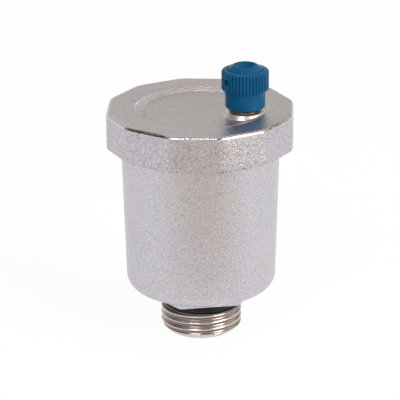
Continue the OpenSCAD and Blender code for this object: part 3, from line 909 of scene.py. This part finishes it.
# A narrow groove runs round the dome's foot, and the dome's lower edge is rounded.
shoulder_z = dome_z + shoulder_rise
dome_low_z = shoulder_z + dome_step
dome_h = cap_top_z - dome_low_z
dome_low_r = dome_r - 1.6 * dome_foot
rings += turned(cap_spokes, [
    (dome_r + 2.5 * dome_foot, shoulder_z),
    (dome_r + dome_foot, shoulder_z - 2 * dome_foot),
    (dome_r, shoulder_z - 2 * dome_foot),
    (dome_r - 0.2 * dome_foot, dome_low_z - dome_foot),
    (dome_r - 0.6 * dome_foot, dome_low_z - 0.3 * dome_foot),
])
dome_rows = 8
for i in range(dome_rows):
    share = i / dome_rows
    bulge = dome_bulge * math.sin(math.pi * share)
    dome_row_r = dome_low_r - (dome_low_r - dome_top_r) * share
    rings += turned(cap_spokes, [(dome_row_r, dome_low_z + dome_h * share + bulge)])
rings += turned(cap_spokes, [
    (dome_top_r - lip_r, cap_top_z),
    (recess_r + lip_r, cap_top_z),
    (recess_r, cap_top_z - lip_r),
    (recess_floor_r + lip_r, recess_z + lip_r),
    (recess_floor_r - lip_r, recess_z),
    (tip_r, recess_z),
])
rings = [[(x + vent_x, y, z) for x, y, z in ring] for ring in rings]
add_rings(bm, rings)
for edge_ring in (bm.verts[:cap_spokes], bm.verts[-cap_spokes:]):
    bm.faces.new(edge_ring if edge_ring[0].co.z > air_z else edge_ring[::-1])
cap = mesh_object("knurled_cap", bm)

drill_bm = bmesh.new()
bmesh.ops.create_cone(
    drill_bm, cap_ends=True, segments=32, radius1=side_vent_r, radius2=side_vent_r, depth=knurl_r)
drill = mesh_object("side_vent_drill", drill_bm)
drill.data.transform(Matrix.Translation((0, 0, (hub_r + cap_bore_r + knurl_r) / 2)))
drill.data.transform(Matrix.Rotation(math.radians(90), 4, "Y"))
drill.data.transform(Matrix.Rotation(side_vent_turn, 4, "Z"))
drill.data.transform(Matrix.Translation((vent_x, 0, side_vent_z)))
cut_out = cap.modifiers.new("side_vent", "BOOLEAN")
cut_out.operation = "DIFFERENCE"
cut_out.solver = "EXACT"
cut_out.object = drill
drilled = bpy.data.meshes.new_from_object(cap.evaluated_get(bpy.context.evaluated_depsgraph_get()))
cap.modifiers.clear()
cap.data = drilled
cap.data.shade_smooth()
cap.data.set_sharp_from_angle(angle=crease)
bpy.data.objects.remove(drill)
blue_plastic = moulded_finish(
    "blue_plastic", colour=(0.006, 0.087, 0.198), deep=(0.005, 0.078, 0.18),
    rough=0.24, sheen=0.06, grain_height=0.008 * mm)
cap.data.materials.clear()
cap.data.materials.append(blue_plastic)
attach(cap, "cap")
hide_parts("vent_cap")
dress("cap_seal", black_rubber)


# Camera: a long lens that looks down a little on the side with the vent hole.
# Its lens, distance and angles were fitted to the outline of the photographed valve.
camera_turn = math.radians(-72.28)
camera_lift = math.radians(20.813)
camera_roll = math.radians(-0.313)
camera_distance = 679.1 * mm
photo_px = 400
focal_px = 2631.1
aim_z = 35 * mm
aim_side = -0.184 * mm

outward = Vector((math.cos(camera_turn), math.sin(camera_turn), 0))
sideways = Vector((-outward.y, outward.x, 0))
toward = outward * math.cos(camera_lift) + Vector((0, 0, math.sin(camera_lift)))
camera = bpy.data.objects.new("camera", bpy.data.cameras.new("camera"))
bpy.context.scene.collection.objects.link(camera)
camera.location = Vector((0, 0, aim_z)) + sideways * aim_side + toward * camera_distance
look = (-toward).to_track_quat("-Z", "Y").to_matrix().to_4x4()
camera.rotation_euler = (look @ Matrix.Rotation(camera_roll, 4, "Z")).to_euler()
camera.data.lens = focal_px / photo_px * camera.data.sensor_width
camera.data.clip_start = 0.01
bpy.context.scene.camera = camera


# Studio room: soft light from all round, white at the horizon and dimmer at the camera's left front.
# A square lamp at the right and a smaller one at the upper left give the highlights.
world = bpy.data.worlds.new("studio")
bpy.context.scene.world = world
world.use_nodes = True
tree = world.node_tree
link = tree.links.new
add = node_adder(tree)
dim_side = math.radians(-25)
heading = add("ShaderNodeTexCoord").outputs["Generated"]
height = add("ShaderNodeSeparateXYZ")
link(heading, height.inputs["Vector"])
facing = add("ShaderNodeVectorMath", operation="DOT_PRODUCT")
facing.inputs[1].default_value = outward * math.cos(dim_side) + sideways * math.sin(dim_side)
link(heading, facing.inputs[0])
from_back = add("ShaderNodeMapRange")
from_back.inputs["From Min"].default_value = -1
link(facing.outputs["Value"], from_back.inputs["Value"])
room = add("ShaderNodeValToRGB")
room_tones = (
    (0.09, (0.55, 0.51, 0.435)),
    (0.18, (0.98, 0.94, 0.88)),
    (0.42, (0.58, 0.55, 0.52)),
    (0.66, (0.25, 0.21, 0.19)),
)
for stop, _ in room_tones[1:-1]:
    room.color_ramp.elements.new(stop)
for element, (stop, tone) in zip(room.color_ramp.elements, room_tones):
    element.position = stop
    element.color = (*tone, 1)
link(from_back.outputs["Result"], room.inputs["Fac"])
sky = add("ShaderNodeMix", data_type="RGBA")
sky.inputs["A"].default_value = (1, 1, 1, 1)
link(ramp_between(add, tree, height.outputs["Z"], 0.07, 0.27), sky.inputs["Factor"])
link(room.outputs["Color"], sky.inputs["B"])
link(sky.outputs["Result"], tree.nodes["Background"].inputs["Color"])
tree.nodes["Background"].inputs["Strength"].default_value = 1


def soft_box(name, turn, lift, distance, size, watts, colour):
    """Square studio lamp aimed at the valve, placed by its angles from the camera's side."""
    lamp = bpy.data.lights.new(name, "AREA")
    lamp.size = size
    lamp.energy = watts
    lamp.color = colour
    holder = bpy.data.objects.new(name, lamp)
    bpy.context.scene.collection.objects.link(holder)
    angle = camera_turn + math.radians(turn)
    rise = math.radians(lift)
    ray = Vector((math.cos(angle) * math.cos(rise), math.sin(angle) * math.cos(rise), math.sin(rise)))
    holder.location = Vector((0, 0, aim_z)) + ray * distance
    holder.rotation_euler = (-ray).to_track_quat("-Z", "Y").to_euler()


soft_box("key_box", turn=54, lift=29, distance=0.9, size=0.45, watts=6, colour=(1.0, 0.96, 0.9))
soft_box("fill_box", turn=-24, lift=45, distance=0.9, size=0.34, watts=2.8, colour=(1.0, 0.98, 0.95))


# Floor: a white seamless sheet that glows for the camera, so the background stays white.
# Only mirrored rays see a warm patch of it in front of the valve.
floor_size = 12
patch_turn = math.radians(9)
patch_tint = (0.77, 0.7, 0.61)
camera_glow = 0.93
mirror_glow = 0.76
floor_mesh = bpy.data.meshes.new("floor")
half = floor_size / 2
corners = [(-half, -half, 0), (half, -half, 0), (half, half, 0), (-half, half, 0)]
floor_mesh.from_pydata(corners, [], [(0, 1, 2, 3)])
floor = bpy.data.objects.new("floor", floor_mesh)
bpy.context.scene.collection.objects.link(floor)
floor_material, tree, shader, add = shader_tree("white_floor")
link = tree.links.new
place = add("ShaderNodeTexCoord").outputs["Object"]
aside = add("ShaderNodeVectorMath", operation="NORMALIZE")
link(place, aside.inputs[0])
before = add("ShaderNodeVectorMath", operation="DOT_PRODUCT")
before.inputs[1].default_value = outward * math.cos(patch_turn) + sideways * math.sin(patch_turn)
link(aside.outputs["Vector"], before.inputs[0])
away = add("ShaderNodeVectorMath", operation="LENGTH")
link(place, away.inputs[0])
rays = add("ShaderNodeLightPath")
shade = add("ShaderNodeMath", operation="MULTIPLY")
link(ramp_between(add, tree, before.outputs["Value"], 0.5, 0.95), shade.inputs[0])
link(ramp_between(add, tree, away.outputs["Value"], 0.04, 0.08), shade.inputs[1])
seen = add("ShaderNodeMath", operation="MULTIPLY")
link(shade.outputs["Value"], seen.inputs[0])
link(rays.outputs["Is Glossy Ray"], seen.inputs[1])
paper = ramp_between(add, tree, seen.outputs["Value"], 0, 1, (1, 1, 1), patch_tint)
link(paper, shader.inputs["Base Color"])
shader.inputs["Roughness"].default_value = 0.9
clear = add("ShaderNodeMath", operation="MAXIMUM")
link(rays.outputs["Is Camera Ray"], clear.inputs[0])
link(rays.outputs["Is Transmission Ray"], clear.inputs[1])
mirrored = add("ShaderNodeMath", operation="MULTIPLY")
mirrored.inputs[1].default_value = mirror_glow
link(rays.outputs["Is Glossy Ray"], mirrored.inputs[0])
share = add("ShaderNodeMath", operation="MULTIPLY_ADD")
share.inputs[1].default_value = camera_glow
link(clear.outputs["Value"], share.inputs[0])
link(mirrored.outputs["Value"], share.inputs[2])
glow = add("ShaderNodeEmission", Strength=1)
link(paper, glow.inputs["Color"])
blend = add("ShaderNodeMixShader")
link(share.outputs["Value"], blend.inputs["Fac"])
link(shader.outputs["BSDF"], blend.inputs[1])
link(glow.outputs["Emission"], blend.inputs[2])
link(blend.outputs["Shader"], tree.nodes["Material Output"].inputs["Surface"])
floor_mesh.materials.append(floor_material)

bpy.context.scene.view_settings.view_transform = "Standard"
